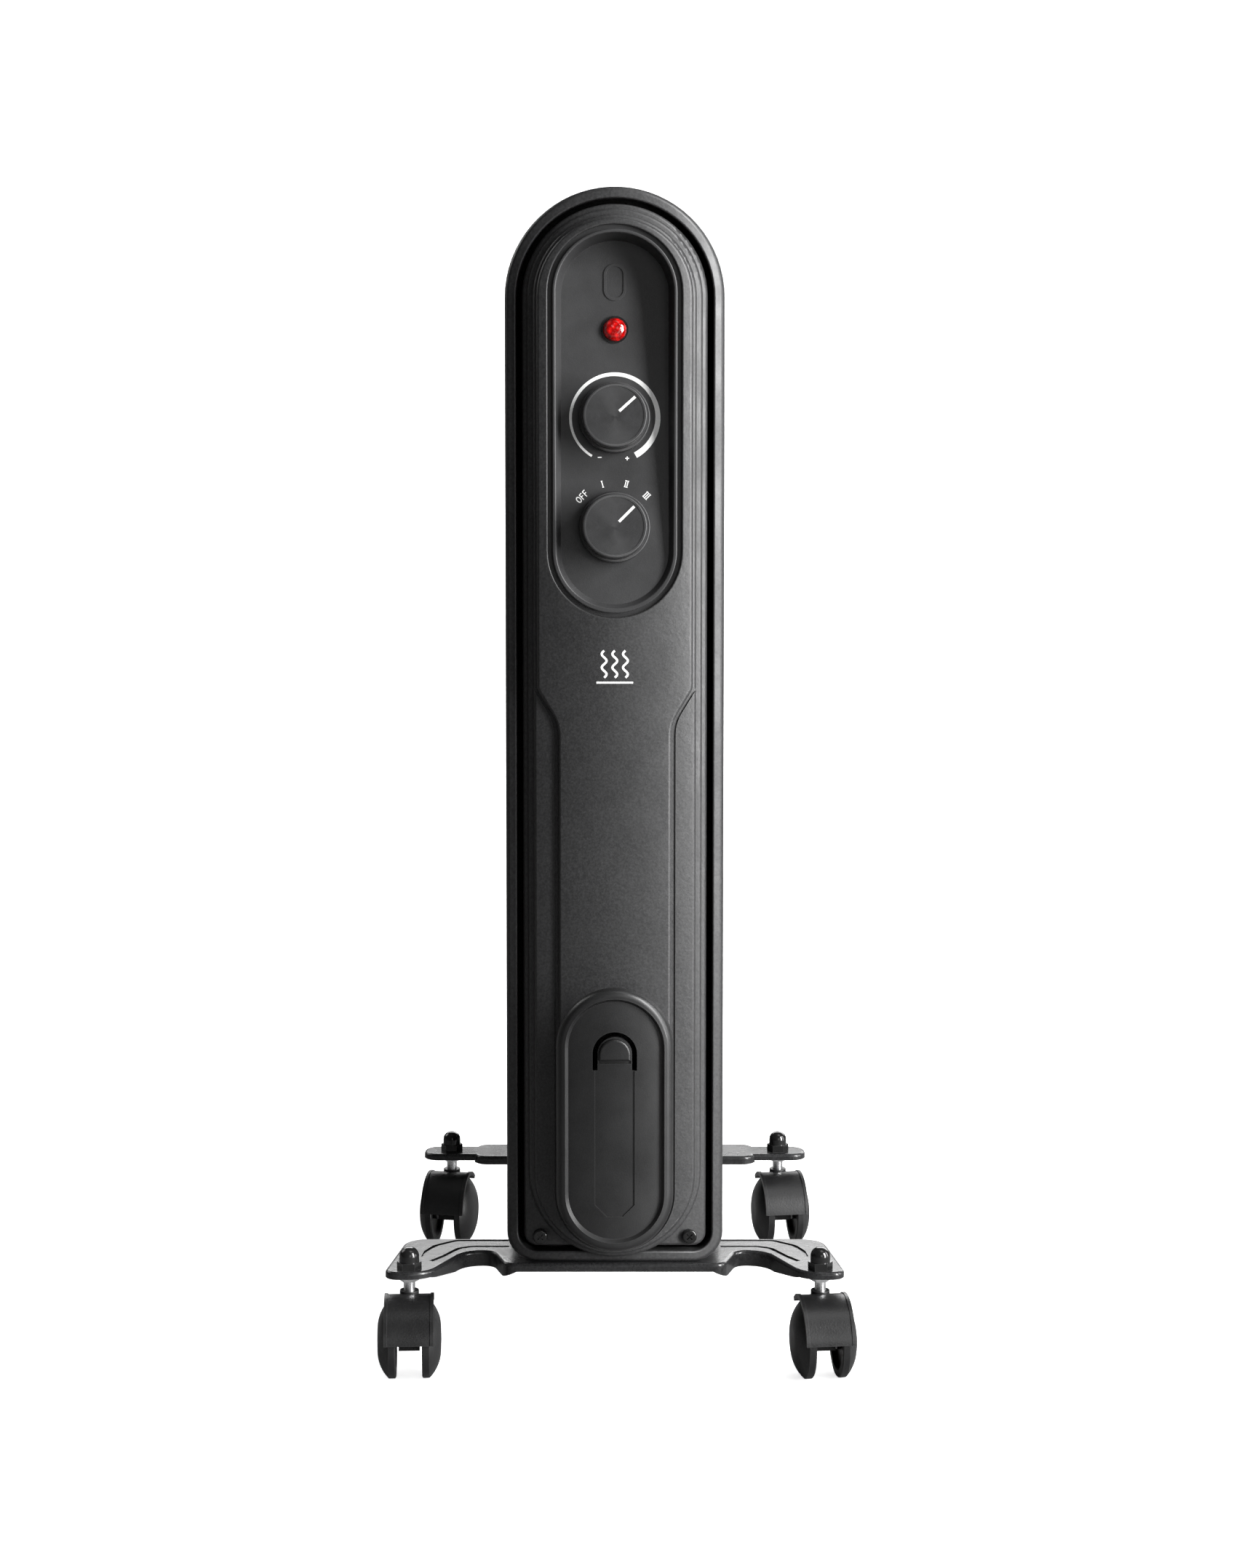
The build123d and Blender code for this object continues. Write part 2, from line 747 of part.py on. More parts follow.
with BuildPart() as cord_wrap_plate:
    with BuildSketch(facing(plate_back_y)):
        add(pill(wrap_half, wrap_low, wrap_high))
    extrude(amount=wrap_thickness)
    fillet(cord_wrap_plate.faces().sort_by(Axis.Y)[0].edges(), 3.2)
    fillet(cord_wrap_plate.faces().sort_by(Axis.Y)[-1].edges(), 1.0)
    with BuildSketch(facing(front_y)):
        add(pill(wrap_half - wrap_rim, wrap_low + wrap_rim, wrap_high - wrap_rim))
    extrude(amount=-dish_depth, taper=35, mode=Mode.SUBTRACT)
    with BuildSketch(facing(plate_back_y)):
        add(pill(wrap_half - 3.0, wrap_low + 3.0, wrap_high - 3.0))
        add(pill(hub_half + 0.5, hub_low - 0.5, hub_high + 0.5), mode=Mode.SUBTRACT)
    extrude(amount=3.0, mode=Mode.SUBTRACT)
    # Shallow strip of the cord clip, its thumb tab, and the slot that frees it
    with BuildSketch(facing(strip_y)):
        with BuildLine():
            Polyline(
                (-tongue_half, slot_low),
                (-tongue_half, tongue_low + tongue_facet),
                (-tongue_half + tongue_facet, tongue_low),
                (tongue_half - tongue_facet, tongue_low),
                (tongue_half, tongue_low + tongue_facet),
                (tongue_half, slot_low),
                close=True,
            )
        make_face()
        with Locations((0, slot_low)):
            Rectangle(2 * (slot_half - slot_width), slot_top - slot_low - 6, align=(Align.CENTER, Align.MIN))
    extrude(amount=strip_y - front_y, mode=Mode.SUBTRACT)
    with BuildSketch(facing(strip_y)):
        add(tombstone(slot_half - slot_width - 0.6, tab_low, slot_top - slot_width - 0.8))
    extrude(amount=strip_y - front_y - 0.2)
    tab_face = cord_wrap_plate.faces().filter_by(lambda f: abs(f.center().Y - front_y - 0.2) < 1e-3)
    fillet(tab_face.edges(), 1.2)
    with BuildSketch(facing(strip_y)):
        with Locations((0, tab_low)):
            Rectangle(2 * ledge_half, ledge_height, align=(Align.CENTER, Align.MAX))
    extrude(amount=-ledge_depth, mode=Mode.SUBTRACT)
    with BuildSketch(facing(plate_back_y)):
        add(tombstone(slot_half, slot_low, slot_top))
        add(tombstone(slot_half - slot_width, slot_low - 1, slot_top - slot_width), mode=Mode.SUBTRACT)
    extrude(amount=wrap_thickness, mode=Mode.SUBTRACT)
save(cord_wrap_plate, "cord_wrap_plate")

with BuildPart() as cord_wrap_screws:
    with BuildSketch(facing(face_y + sheet + 2.4)):
        with Locations(*[(0, z) for z in hub_screw_z]):
            Circle(3.9)
    extrude(amount=2.4)
    with BuildSketch(facing(face_y + sheet)):
        with Locations(*[(0, z) for z in hub_screw_z]):
            Circle(cover_screw_radius)
    extrude(amount=16)
save(cord_wrap_screws, "cord_wrap_screws")


# ---------------------------------------------------------------------------
# Feet: two pressed brackets, their clamps and the caster stems
# ---------------------------------------------------------------------------

front_skirt = 8.3
saddle_skirt = 4.5
tip_skirt = 3.9
rear_skirt = 5.0
rear_tip_skirt = 3.8
skirt_clearance = 4.0
stamp_width = 2.6
stamp_depth = 0.8


def front_foot_outline():
    """Wing shape: straight rear edge, wide tips, slim arms, wide saddle."""
    rear_edge = face_y + 55
    tip_edge = face_y - 7
    corners = [
        ((113, rear_edge), 13),
        ((121.5, tip_edge), 7),
        ((98, tip_edge), 16),
        ((80, face_y + 32), 14),
        ((65, face_y + 32), 7),
        ((58, face_y + 9), 7),
    ]
    corners += [((-x, y), radius) for (x, y), radius in reversed(corners)]
    with BuildSketch() as outline:
        with BuildLine():
            FilletPolyline(
                *[point for point, radius in corners],
                radius=[radius for point, radius in corners],
                close=True,
            )
        make_face()
    return outline.sketch


def rear_foot_outline():
    """Straight bar that widens in two steps to the saddle under the fins."""
    with BuildSketch() as outline:
        with Locations((0, rear_bolt_y)):
            RectangleRounded(232, 20, 9)
            RectangleRounded(170, 30, 8)
            RectangleRounded(112, 42, 8)
    return outline.sketch


def tray(outline, skirt):
    """Pressed plate with a skirt all round."""
    with BuildPart() as pressing:
        with BuildSketch(Plane.XY.offset(plate_top)):
            add(outline)
        extrude(amount=-skirt)
        fillet(pressing.faces().sort_by(Axis.Z)[-1].edges(), 1.8)
        with BuildSketch(Plane.XY.offset(plate_bottom)):
            add(outline)
            offset(amount=-plate_sheet, mode=Mode.REPLACE)
        extrude(amount=-skirt, mode=Mode.SUBTRACT)
    return pressing.part


with BuildPart() as front_foot:
    add(tray(front_foot_outline(), front_skirt))
    # The skirt is deep along the arms and shallow at the tips and the saddle
    with BuildSketch(facing(face_y - 20)):
        with BuildLine():
            Polyline(
                (130, plate_top - tip_skirt),
                (97, plate_top - tip_skirt),
                (85, plate_top - front_skirt),
                (80, plate_top - front_skirt - skirt_clearance),
                (130, plate_top - front_skirt - skirt_clearance),
                close=True,
            )
        make_face()
        mirror(about=Plane.YZ)
        with BuildLine():
            Polyline(
                (-52, plate_top - saddle_skirt),
                (52, plate_top - saddle_skirt),
                (60, plate_top - front_skirt),
                (63, plate_top - front_skirt - skirt_clearance),
                (-63, plate_top - front_skirt - skirt_clearance),
                (-60, plate_top - front_skirt),
                close=True,
            )
        make_face()
    extrude(amount=-90, mode=Mode.SUBTRACT)
    # Two stamped grooves along each arm
    with BuildSketch(Plane.XY.offset(plate_top)):
        with BuildLine():
            outer_groove = FilletPolyline(
                (57, face_y + 51),
                (86, face_y + 51),
                (97, face_y + 41.5),
                (101, face_y + 31.5),
                (102, face_y + 21.5),
                radius=6.0,
            )
            inner_groove = FilletPolyline(
                (57, face_y + 40),
                (77, face_y + 40),
                (84, face_y + 36.5),
                (91, face_y + 23),
                (97.5, face_y + 13.5),
                radius=6.0,
            )
            mirror(outer_groove, about=Plane.YZ)
            mirror(inner_groove, about=Plane.YZ)
        trace(line_width=stamp_width)
    extrude(amount=-stamp_depth, mode=Mode.SUBTRACT)
    with BuildSketch(Plane.XY.offset(plate_top)):
        with Locations((-front_bolt_x, front_bolt_y), (front_bolt_x, front_bolt_y)):
            Circle(stem_radius)
        with Locations(*foot_screw_spots):
            Circle(foot_screw_radius)
        with Locations((inlet_x, inlet_y)):
            Circle(inlet_radius + 1.5)
    extrude(amount=-front_skirt, mode=Mode.SUBTRACT)
save(front_foot, "front_foot")

u_bolt_radius = 3.0
u_bolt_spread = neck_radius + u_bolt_radius
with BuildPart() as rear_foot:
    add(tray(rear_foot_outline(), rear_skirt))
    # The skirt is shallower at the tips
    with BuildSketch(Plane.XY.offset(plate_top - rear_tip_skirt)):
        with Locations((-110, rear_bolt_y), (110, rear_bolt_y)):
            Rectangle(50, 50)
    extrude(amount=-rear_skirt, mode=Mode.SUBTRACT)
    with BuildSketch(Plane.XY.offset(plate_top)):
        with Locations((-rear_bolt_x, rear_bolt_y), (rear_bolt_x, rear_bolt_y)):
            Circle(stem_radius)
        with Locations((-u_bolt_spread, rear_bolt_y), (u_bolt_spread, rear_bolt_y)):
            Circle(u_bolt_radius)
    extrude(amount=-rear_skirt, mode=Mode.SUBTRACT)
save(rear_foot, "rear_foot")

with BuildPart() as foot_screws:
    with BuildSketch(Plane.XY.offset(column_bottom + sheet)):
        with Locations(*foot_screw_spots):
            RegularPolygon(3.1, 6)
    extrude(amount=2.2)
    with BuildSketch(Plane.XY.offset(column_bottom + sheet)):
        with Locations(*foot_screw_spots):
            Circle(foot_screw_radius)
    extrude(amount=-8)
save(foot_screws, "foot_screws")

u_bolt_low = 44.0
with BuildPart() as rear_u_bolt:
    with BuildLine() as bend:
        Line((-u_bolt_spread, rear_bolt_y, u_bolt_low), (-u_bolt_spread, rear_bolt_y, gallery_low_z))
        ThreePointArc(
            (-u_bolt_spread, rear_bolt_y, gallery_low_z),
            (0, rear_bolt_y, gallery_low_z + u_bolt_spread),
            (u_bolt_spread, rear_bolt_y, gallery_low_z),
        )
        Line((u_bolt_spread, rear_bolt_y, gallery_low_z), (u_bolt_spread, rear_bolt_y, u_bolt_low))
    with BuildSketch(Plane(origin=(-u_bolt_spread, rear_bolt_y, u_bolt_low), z_dir=(0, 0, 1))):
        Circle(u_bolt_radius)
    sweep(path=bend.line)
save(rear_u_bolt, "rear_u_bolt")

with BuildPart() as wing_nuts:
    for side in (-u_bolt_spread, u_bolt_spread):
        with BuildSketch(Plane.XY.offset(plate_bottom)):
            with Locations((side, rear_bolt_y)):
                Circle(5)
        extrude(amount=-6)
        with BuildSketch(facing(rear_bolt_y + 1.2)):
            with Locations((side - 8.5, plate_bottom - 5.5), (side + 8.5, plate_bottom - 5.5)):
                Ellipse(4.6, 5.2)
            with Locations((side, plate_bottom - 4)):
                Rectangle(13, 4)
        extrude(amount=2.4)
        with BuildSketch(Plane.XY.offset(plate_bottom)):
            with Locations((side, rear_bolt_y)):
                Circle(u_bolt_radius)
        extrude(amount=-12, mode=Mode.SUBTRACT)
save(wing_nuts, "wing_nuts")

stem_spots = [(x, y) for x, y, turn in caster_places.values()]
stem_low = 27.5
stem_high = plate_top + 8.5
nut_height = 4.4
with BuildPart() as caster_stems:
    with BuildSketch(Plane.XY.offset(stem_low)):
        with Locations(*stem_spots):
            Circle(stem_radius)
    extrude(amount=stem_high - stem_low)
save(caster_stems, "caster_stems")

with BuildPart() as stem_nuts:
    with BuildSketch(Plane.XY.offset(plate_bottom)):
        with Locations(*stem_spots):
            RegularPolygon(5.2, 6)
            Circle(stem_radius, mode=Mode.SUBTRACT)
    extrude(amount=-nut_height)
save(stem_nuts, "stem_nuts")

cap_dome_radius = 5.2
cap_base = 4.0
cap_top = 11.6
with BuildPart() as cap_nuts:
    with BuildSketch(Plane.XY.offset(plate_top)):
        with Locations(*stem_spots):
            Circle(cap_dome_radius)
    extrude(amount=cap_top)
    fillet(cap_nuts.faces().filter_by(Axis.Z).group_by(Axis.Z)[-1].edges(), 4.6)
    with BuildSketch(Plane.XY.offset(plate_top)):
        with Locations(*stem_spots):
            RegularPolygon(6.5, 6)
    extrude(amount=cap_base)
    with BuildSketch(Plane.XY.offset(plate_top)):
        with Locations(*stem_spots):
            Circle(stem_radius)
    extrude(amount=stem_high - plate_top, mode=Mode.SUBTRACT)
save(cap_nuts, "cap_nuts")


# ---------------------------------------------------------------------------
# Casters: hood, axle and two domed wheels, made once and placed four times
# ---------------------------------------------------------------------------

hood_sheet = 2.1
hood_half = 12.9
web_thickness = 11.0
hood_lip = 3.4
web_drop = 4.5
web_step = 6.0
hood_rim = 1.7
hood_recess = 0.5
boss_radius = 5.0
boss_top = 43.8 - wheel_radius
axle_radius = 2.5
axle_half = 13.4
wheel_inner = 6.8
wheel_outer = 16.8
lip_turn = 171.7
tail_turn = 50.0

with BuildPart() as hood_shape:
    with BuildSketch(Plane.YZ):
        Circle(hood_radius)
        Circle(hood_radius - hood_sheet, mode=Mode.SUBTRACT)
        reach = 3 * hood_radius
        turns = [lip_turn, 240.0, 300.0, 360.0, 360.0 + tail_turn]
        corners = [(reach * cos(radians(t)), reach * sin(radians(t))) for t in turns]
        Polygon((0, 0), *corners, align=None, mode=Mode.SUBTRACT)
    extrude(amount=hood_half, both=True)
    # Raised rims along both sides of the hood
    with BuildSketch(Plane.YZ):
        Circle(hood_radius + 1)
        Circle(hood_radius - hood_recess, mode=Mode.SUBTRACT)
    extrude(amount=hood_half - hood_rim, both=True, mode=Mode.SUBTRACT)
    # Web between the wheels, stepped up at the front
    with BuildSketch(Plane.YZ):
        Circle(hood_radius - 1)
        with Locations((-hood_radius, -web_drop)):
            Rectangle(
                hood_radius + 14, 2 * hood_radius, align=(Align.MIN, Align.MIN), mode=Mode.INTERSECT
            )
        with Locations((-hood_radius, hood_lip)):
            Rectangle(
                hood_radius - web_step, 20, align=(Align.MIN, Align.MAX), mode=Mode.SUBTRACT
            )
    extrude(amount=web_thickness / 2, both=True)
    with BuildSketch(Plane.XY.offset(boss_top)):
        with Locations((0, caster_trail)):
            Circle(boss_radius)
    extrude(amount=-boss_top)
    fillet(hood_shape.faces().sort_by(Axis.Z)[-1].edges(), 0.25)
    with BuildSketch(Plane.XY.offset(boss_top)):
        with Locations((0, caster_trail)):
            Circle(stem_radius + running_gap)
    extrude(amount=stem_low - 0.5 - wheel_radius - boss_top, mode=Mode.SUBTRACT)
    with BuildSketch(Plane.YZ):
        Circle(axle_radius)
    extrude(amount=hood_half, both=True, mode=Mode.SUBTRACT)

with BuildPart() as axle_shape:
    with BuildSketch(Plane.YZ):
        Circle(axle_radius)
    extrude(amount=axle_half, both=True)
    chamfer(axle_shape.edges(), 0.5)

with BuildPart() as wheel_shape:
    with BuildSketch():
        with BuildLine():
            Polyline(
                (wheel_outer, 0),
                (axle_half + 0.4, 0),
                (axle_half + 0.4, axle_radius + running_gap),
                (wheel_inner, axle_radius + running_gap),
                (wheel_inner, 5.6),
                (wheel_inner + 2.8, 5.6),
                (wheel_inner + 2.8, 16.2),
                (wheel_inner, 16.2),
                (wheel_inner, wheel_radius - 0.6),
                (wheel_inner + 0.6, wheel_radius),
                (wheel_inner + 3.8, wheel_radius),
            )
            ThreePointArc(
                (wheel_inner + 3.8, wheel_radius), (15.2, 13.2), (wheel_outer - 0.2, 6)
            )
            Line((wheel_outer - 0.2, 6), (wheel_outer, 0))
        make_face()
    revolve(axis=Axis.X)

for corner, (x, y, turn) in caster_places.items():
    axle_place = Location((x, y, 0), (0, 0, turn)) * Location((0, -caster_trail, wheel_radius))
    with BuildPart() as caster_hood:
        with Locations(axle_place):
            add(hood_shape.part)
    save(caster_hood, f"{corner}_hood")
    with BuildPart() as caster_axle:
        with Locations(axle_place):
            add(axle_shape.part)
    save(caster_axle, f"{corner}_axle")
    with BuildPart() as right_wheel:
        with Locations(axle_place):
            add(wheel_shape.part)
    save(right_wheel, f"{corner}_wheel_right")
    with BuildPart() as left_wheel:
        with Locations(axle_place * Location((0, 0, 0), (0, 0, 180))):
            add(wheel_shape.part)
    save(left_wheel, f"{corner}_wheel_left")
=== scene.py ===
import json
from math import cos, pi, radians, sin

import bmesh
import bpy
from mathutils import Matrix, Vector


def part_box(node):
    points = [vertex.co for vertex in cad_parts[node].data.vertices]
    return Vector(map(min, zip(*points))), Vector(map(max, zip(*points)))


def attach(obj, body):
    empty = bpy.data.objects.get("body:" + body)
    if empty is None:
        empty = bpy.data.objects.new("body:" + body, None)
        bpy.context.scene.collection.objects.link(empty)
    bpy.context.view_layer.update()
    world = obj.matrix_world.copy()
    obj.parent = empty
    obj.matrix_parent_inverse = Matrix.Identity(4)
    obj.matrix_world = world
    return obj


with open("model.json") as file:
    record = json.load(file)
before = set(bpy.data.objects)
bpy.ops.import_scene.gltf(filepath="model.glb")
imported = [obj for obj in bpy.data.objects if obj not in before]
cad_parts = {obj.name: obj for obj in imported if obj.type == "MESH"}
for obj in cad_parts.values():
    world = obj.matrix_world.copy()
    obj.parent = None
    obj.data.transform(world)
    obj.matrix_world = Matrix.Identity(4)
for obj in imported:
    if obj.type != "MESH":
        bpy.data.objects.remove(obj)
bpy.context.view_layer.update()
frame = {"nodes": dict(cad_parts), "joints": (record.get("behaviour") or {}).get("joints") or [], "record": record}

scene = bpy.context.scene
scene.view_settings.view_transform = "Standard"

MM = 0.001
ROOT = "heater"

# ---------------------------------------------------------------------------
# Places read from the frame
# ---------------------------------------------------------------------------

joints = {joint["name"]: joint for joint in frame["joints"]}
PANEL_NORMAL = Vector(joints["thermostat_turn"]["axis"]).normalized()
PANEL_UP = Vector((0.0, PANEL_NORMAL.z, -PANEL_NORMAL.y)).normalized()
PANEL_RIGHT = Vector((1.0, 0.0, 0.0))
thermostat_spot = Vector(joints["thermostat_turn"]["pos_m"])
mode_spot = Vector(joints["mode_turn"]["pos_m"])
LENS_RISE = 45.5 * MM  # the pilot lens above the thermostat dial
lens_spot = thermostat_spot + PANEL_UP * (LENS_RISE / PANEL_UP.z)
face_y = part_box("casing_cover")[0].y


def basis(spot, lift=0.0):
    """Matrix of a frame on the leaning floor: x right, y up the floor, z out of it."""
    place = Matrix.Identity(4)
    for column, axis in enumerate((PANEL_RIGHT, PANEL_UP, PANEL_NORMAL)):
        for row in range(3):
            place[row][column] = axis[row]
    place.translation = spot + PANEL_NORMAL * lift
    return place


# ---------------------------------------------------------------------------
# Materials
# ---------------------------------------------------------------------------


class Shading:
    """A node tree in the making. Every pattern reads object coordinates in metres."""

    def __init__(self, name):
        self.material = bpy.data.materials.new(name)
        self.material.use_nodes = True
        self.tree = self.material.node_tree
        self.shader = self.tree.nodes["Principled BSDF"]
        self.coords = self.node("ShaderNodeTexCoord").outputs["Object"]
        self.normal = None

    def node(self, kind, **settings):
        made = self.tree.nodes.new(kind)
        for key, value in settings.items():
            setattr(made, key, value)
        return made

    def join(self, source, target):
        self.tree.links.new(source, target)

    def feed(self, socket, value):
        """Sets a number or an rgb triple on a socket, or links another socket to it."""
        if isinstance(value, bpy.types.NodeSocket):
            self.join(value, socket)
        elif isinstance(value, tuple):
            socket.default_value = (*value, 1.0)
        else:
            socket.default_value = value

    def math(self, operation, a, b=0.0):
        made = self.node("ShaderNodeMath", operation=operation)
        for socket, value in zip(made.inputs, (a, b)):
            self.feed(socket, value)
        return made.outputs[0]

    def noise(self, size, detail=2.0, roughness=0.5, coords=None):
        """Noise whose blobs are about the given size in metres."""
        made = self.node("ShaderNodeTexNoise")
        made.inputs["Scale"].default_value = 1.0 / size
        made.inputs["Detail"].default_value = detail
        made.inputs["Roughness"].default_value = roughness
        self.join(coords or self.coords, made.inputs["Vector"])
        return made.outputs["Fac"]

    def cells(self, size):
        """Distance to the middle of cells about the given size in metres."""
        made = self.node("ShaderNodeTexVoronoi")
        made.inputs["Scale"].default_value = 1.0 / size
        self.join(self.coords, made.inputs["Vector"])
        return made.outputs["Distance"]

    def ramp(self, factor, low, high, start=0.0, end=1.0):
        """Value that goes from start to end as the factor goes from low to high."""
        made = self.node("ShaderNodeMapRange")
        made.inputs["From Min"].default_value = low
        made.inputs["From Max"].default_value = high
        made.inputs["To Min"].default_value = start
        made.inputs["To Max"].default_value = end
        self.join(factor, made.inputs["Value"])
        return made.outputs["Result"]

    def mix(self, factor, a, b):
        """Colour between a and b, each a socket or an rgb triple."""
        made = self.node("ShaderNodeMix", data_type="RGBA")
        self.join(factor, made.inputs["Factor"])
        self.feed(made.inputs["A"], a)
        self.feed(made.inputs["B"], b)
        return made.outputs["Result"]

    def bump(self, height, distance, strength=1.0):
        """Adds relief: the height, from 0 to 1, stands for a distance in metres."""
        made = self.node("ShaderNodeBump")
        made.inputs["Distance"].default_value = distance
        made.inputs["Strength"].default_value = strength
        self.join(height, made.inputs["Height"])
        if self.normal:
            self.join(self.normal, made.inputs["Normal"])
        self.normal = made.outputs["Normal"]

    def crown(self, fall):
        """Shades a face as if it fell away to both sides by fall * x * x, in metres.

        Only the shading bends: the mesh under it stays flat.
        """
        apart = self.node("ShaderNodeSeparateXYZ")
        self.join(self.coords, apart.inputs["Vector"])
        across = apart.outputs["X"]
        height = self.math("MULTIPLY", self.math("MULTIPLY", across, across), -fall)
        self.bump(height, distance=1.0)

    def edges(self, radius):
        """1 on sharp edges, 0 on flat areas."""
        bevel = self.node("ShaderNodeBevel", samples=4)
        bevel.inputs["Radius"].default_value = radius
        geometry = self.node("ShaderNodeNewGeometry")
        dot = self.node("ShaderNodeVectorMath", operation="DOT_PRODUCT")
        self.join(bevel.outputs["Normal"], dot.inputs[0])
        self.join(geometry.outputs["Normal"], dot.inputs[1])
        return self.ramp(dot.outputs["Value"], low=0.995, high=0.9)

    def finish(self, colour, roughness, **values):
        """Connects the surface. Further values are set on the shader's own sockets."""
        self.feed(self.shader.inputs["Base Color"], colour)
        self.feed(self.shader.inputs["Roughness"], roughness)
        for key, value in values.items():
            self.shader.inputs[key.replace("_", " ")].default_value = value
        if self.normal:
            self.join(self.normal, self.shader.inputs["Normal"])
        return self.material


def grey(level, blue=None):
    """Grey as an rgb triple. The blue is a little above the rest in a cool grey."""
    return (level, level, level if blue is None else blue)


def powder_coat(name, dark, light, wear, roughness=(0.36, 0.5), grain=0.0011, crown=0.0):
    """Baked paint: orange-peel relief, fine speckle, slow clouding and thin edges."""
    s = Shading(name)
    speckle = s.noise(grain, detail=3.0, roughness=0.65)
    clouds = s.noise(0.07, detail=3.0)
    peel = s.noise(grain * 2.6)
    tone = s.mix(s.ramp(speckle, 0.36, 0.68), dark, light)
    tone = s.mix(s.ramp(clouds, 0.3, 0.75, end=0.35), tone, dark)
    tone = s.mix(s.math("MULTIPLY", s.edges(0.0007), 0.55), tone, wear)
    s.bump(speckle, distance=0.00006, strength=0.8)
    s.bump(peel, distance=0.00012, strength=0.7)
    if crown:
        s.crown(crown)
    return s.finish(tone, s.ramp(s.noise(0.02, detail=3.0), 0.3, 0.7, *roughness))


def moulded(
    name, dark, light, wear, roughness=(0.42, 0.55), grain=0.0007, depth=0.00005, crown=0.0
):
    """Moulded plastic with a fine spark-eroded texture and slight handling marks."""
    s = Shading(name)
    texture = s.noise(grain, roughness=0.6)
    clouds = s.noise(0.03, detail=4.0, roughness=0.6)
    tone = s.mix(s.ramp(clouds, 0.3, 0.7), dark, light)
    tone = s.mix(s.math("MULTIPLY", s.ramp(texture, 0.45, 0.75), 0.35), tone, light)
    tone = s.mix(s.math("MULTIPLY", s.edges(0.0005), 0.5), tone, wear)
    s.bump(texture, depth, strength=0.8)
    if crown:
        s.crown(crown)
    return s.finish(tone, s.ramp(clouds, 0.25, 0.75, *roughness))


def metal(
    name, dark, light, roughness=(0.2, 0.4), streak=(1.0, 1.0, 12.0), depth=0.00003, rust=None
):
    """Bare or plated metal with drawn streaks, fine blotches and, if given, rust."""
    s = Shading(name)
    stretch = s.node("ShaderNodeMapping")
    stretch.inputs["Scale"].default_value = streak
    s.join(s.coords, stretch.inputs["Vector"])
    lines = s.noise(0.003, detail=4.0, roughness=0.6, coords=stretch.outputs["Vector"])
    blotches = s.noise(0.004, detail=3.0)
    tone = s.mix(s.ramp(blotches, 0.3, 0.7), dark, light)
    if rust:
        patches = s.noise(0.002, detail=5.0, roughness=0.7)
        tone = s.mix(s.ramp(patches, 0.62, 0.78, end=0.5), tone, rust)
    s.bump(lines, depth, strength=0.6)
    return s.finish(tone, s.ramp(lines, 0.3, 0.7, *roughness), Metallic=1.0)


TURNING_PITCH = 0.00042  # from one turned ring to the next
DISH_OUTSIDE, DISH_INSIDE = 0.0152, 0.0149  # radii between which the rings fade out
DISH_BELOW, DISH_ABOVE = 0.0145, 0.0155  # heights between which the rings fade in


def turned(name, spot, dark, light, wear):
    """Knob plastic whose dished face is turned: fine rings around the knob's axis."""
    s = Shading(name)
    offset = s.node("ShaderNodeVectorMath", operation="SUBTRACT")
    s.join(s.coords, offset.inputs[0])
    offset.inputs[1].default_value = spot
    along = s.node("ShaderNodeVectorMath", operation="DOT_PRODUCT")
    s.join(offset.outputs["Vector"], along.inputs[0])
    along.inputs[1].default_value = PANEL_NORMAL
    squared = s.node("ShaderNodeVectorMath", operation="DOT_PRODUCT")
    s.join(offset.outputs["Vector"], squared.inputs[0])
    s.join(offset.outputs["Vector"], squared.inputs[1])
    height = along.outputs["Value"]
    height_squared = s.math("MULTIPLY", height, height)
    radius = s.math("SQRT", s.math("SUBTRACT", squared.outputs["Value"], height_squared))
    rings = s.math("SINE", s.math("MULTIPLY", radius, 2 * pi / TURNING_PITCH))
    uneven = s.ramp(s.noise(0.0016), 0.2, 0.8, start=0.6)
    inside = s.ramp(radius, DISH_OUTSIDE, DISH_INSIDE)
    on_face = s.math("MULTIPLY", inside, s.ramp(height, DISH_BELOW, DISH_ABOVE))
    grooves = s.math("MULTIPLY", s.math("MULTIPLY", rings, on_face), uneven)
    grain = s.noise(0.0006)
    tone = s.mix(s.ramp(s.noise(0.006, detail=3.0), 0.3, 0.7), dark, light)
    tone = s.mix(s.math("MULTIPLY", s.edges(0.0006), 0.6), tone, wear)
    s.bump(grooves, distance=0.00002, strength=0.7)
    s.bump(grain, distance=0.00003, strength=0.4)
    rough = s.ramp(on_face, 0.0, 1.0, start=0.5, end=0.34)
    tangent = s.node("ShaderNodeTangent", direction_type="RADIAL", axis="Y")
    s.join(tangent.outputs["Tangent"], s.shader.inputs["Tangent"])
    return s.finish(tone, rough, Anisotropic=0.75)


def red_lens_with_painted_light(name):
    """Clear red pilot lens with a prismatic inside. Painted light makes each facet bright red in its middle and
    dark at its rims, and the lens has a faint painted glow.
    """
    s = Shading(name)
    facets = s.cells(0.0024)
    # Painted light: the facet middles are bright red and their rims dark red, as light through the prisms would
    # fall
    tone = s.mix(s.ramp(facets, 0.1, 0.6), (0.72, 0.006, 0.005), (0.24, 0.0, 0.0))
    s.bump(facets, distance=0.0006, strength=0.9)
    # Painted glow: the lens's colour is also fed to its emission, so it glows faintly
    s.join(tone, s.shader.inputs["Emission Color"])
    return s.finish(tone, 0.1, Coat_Weight=1.0, Coat_Roughness=0.04, Emission_Strength=0.06)


def ink(name):
    """White pad-printed ink, slightly uneven."""
    s = Shading(name)
    film = s.noise(0.0005)
    tone = s.mix(s.ramp(film, 0.3, 0.8), (0.92, 0.92, 0.91), (0.78, 0.78, 0.77))
    s.bump(film, distance=0.00002, strength=0.5)
    return s.finish(tone, 0.42)


def rubber(name):
    """Dull black rubber with a mottled bloom."""
    s = Shading(name)
    bloom = s.noise(0.002, detail=4.0, roughness=0.65)
    tone = s.mix(s.ramp(bloom, 0.3, 0.7), grey(0.012), grey(0.03))
    s.bump(bloom, distance=0.00008, strength=0.6)
    return s.finish(tone, s.ramp(bloom, 0.3, 0.7, start=0.6, end=0.75))


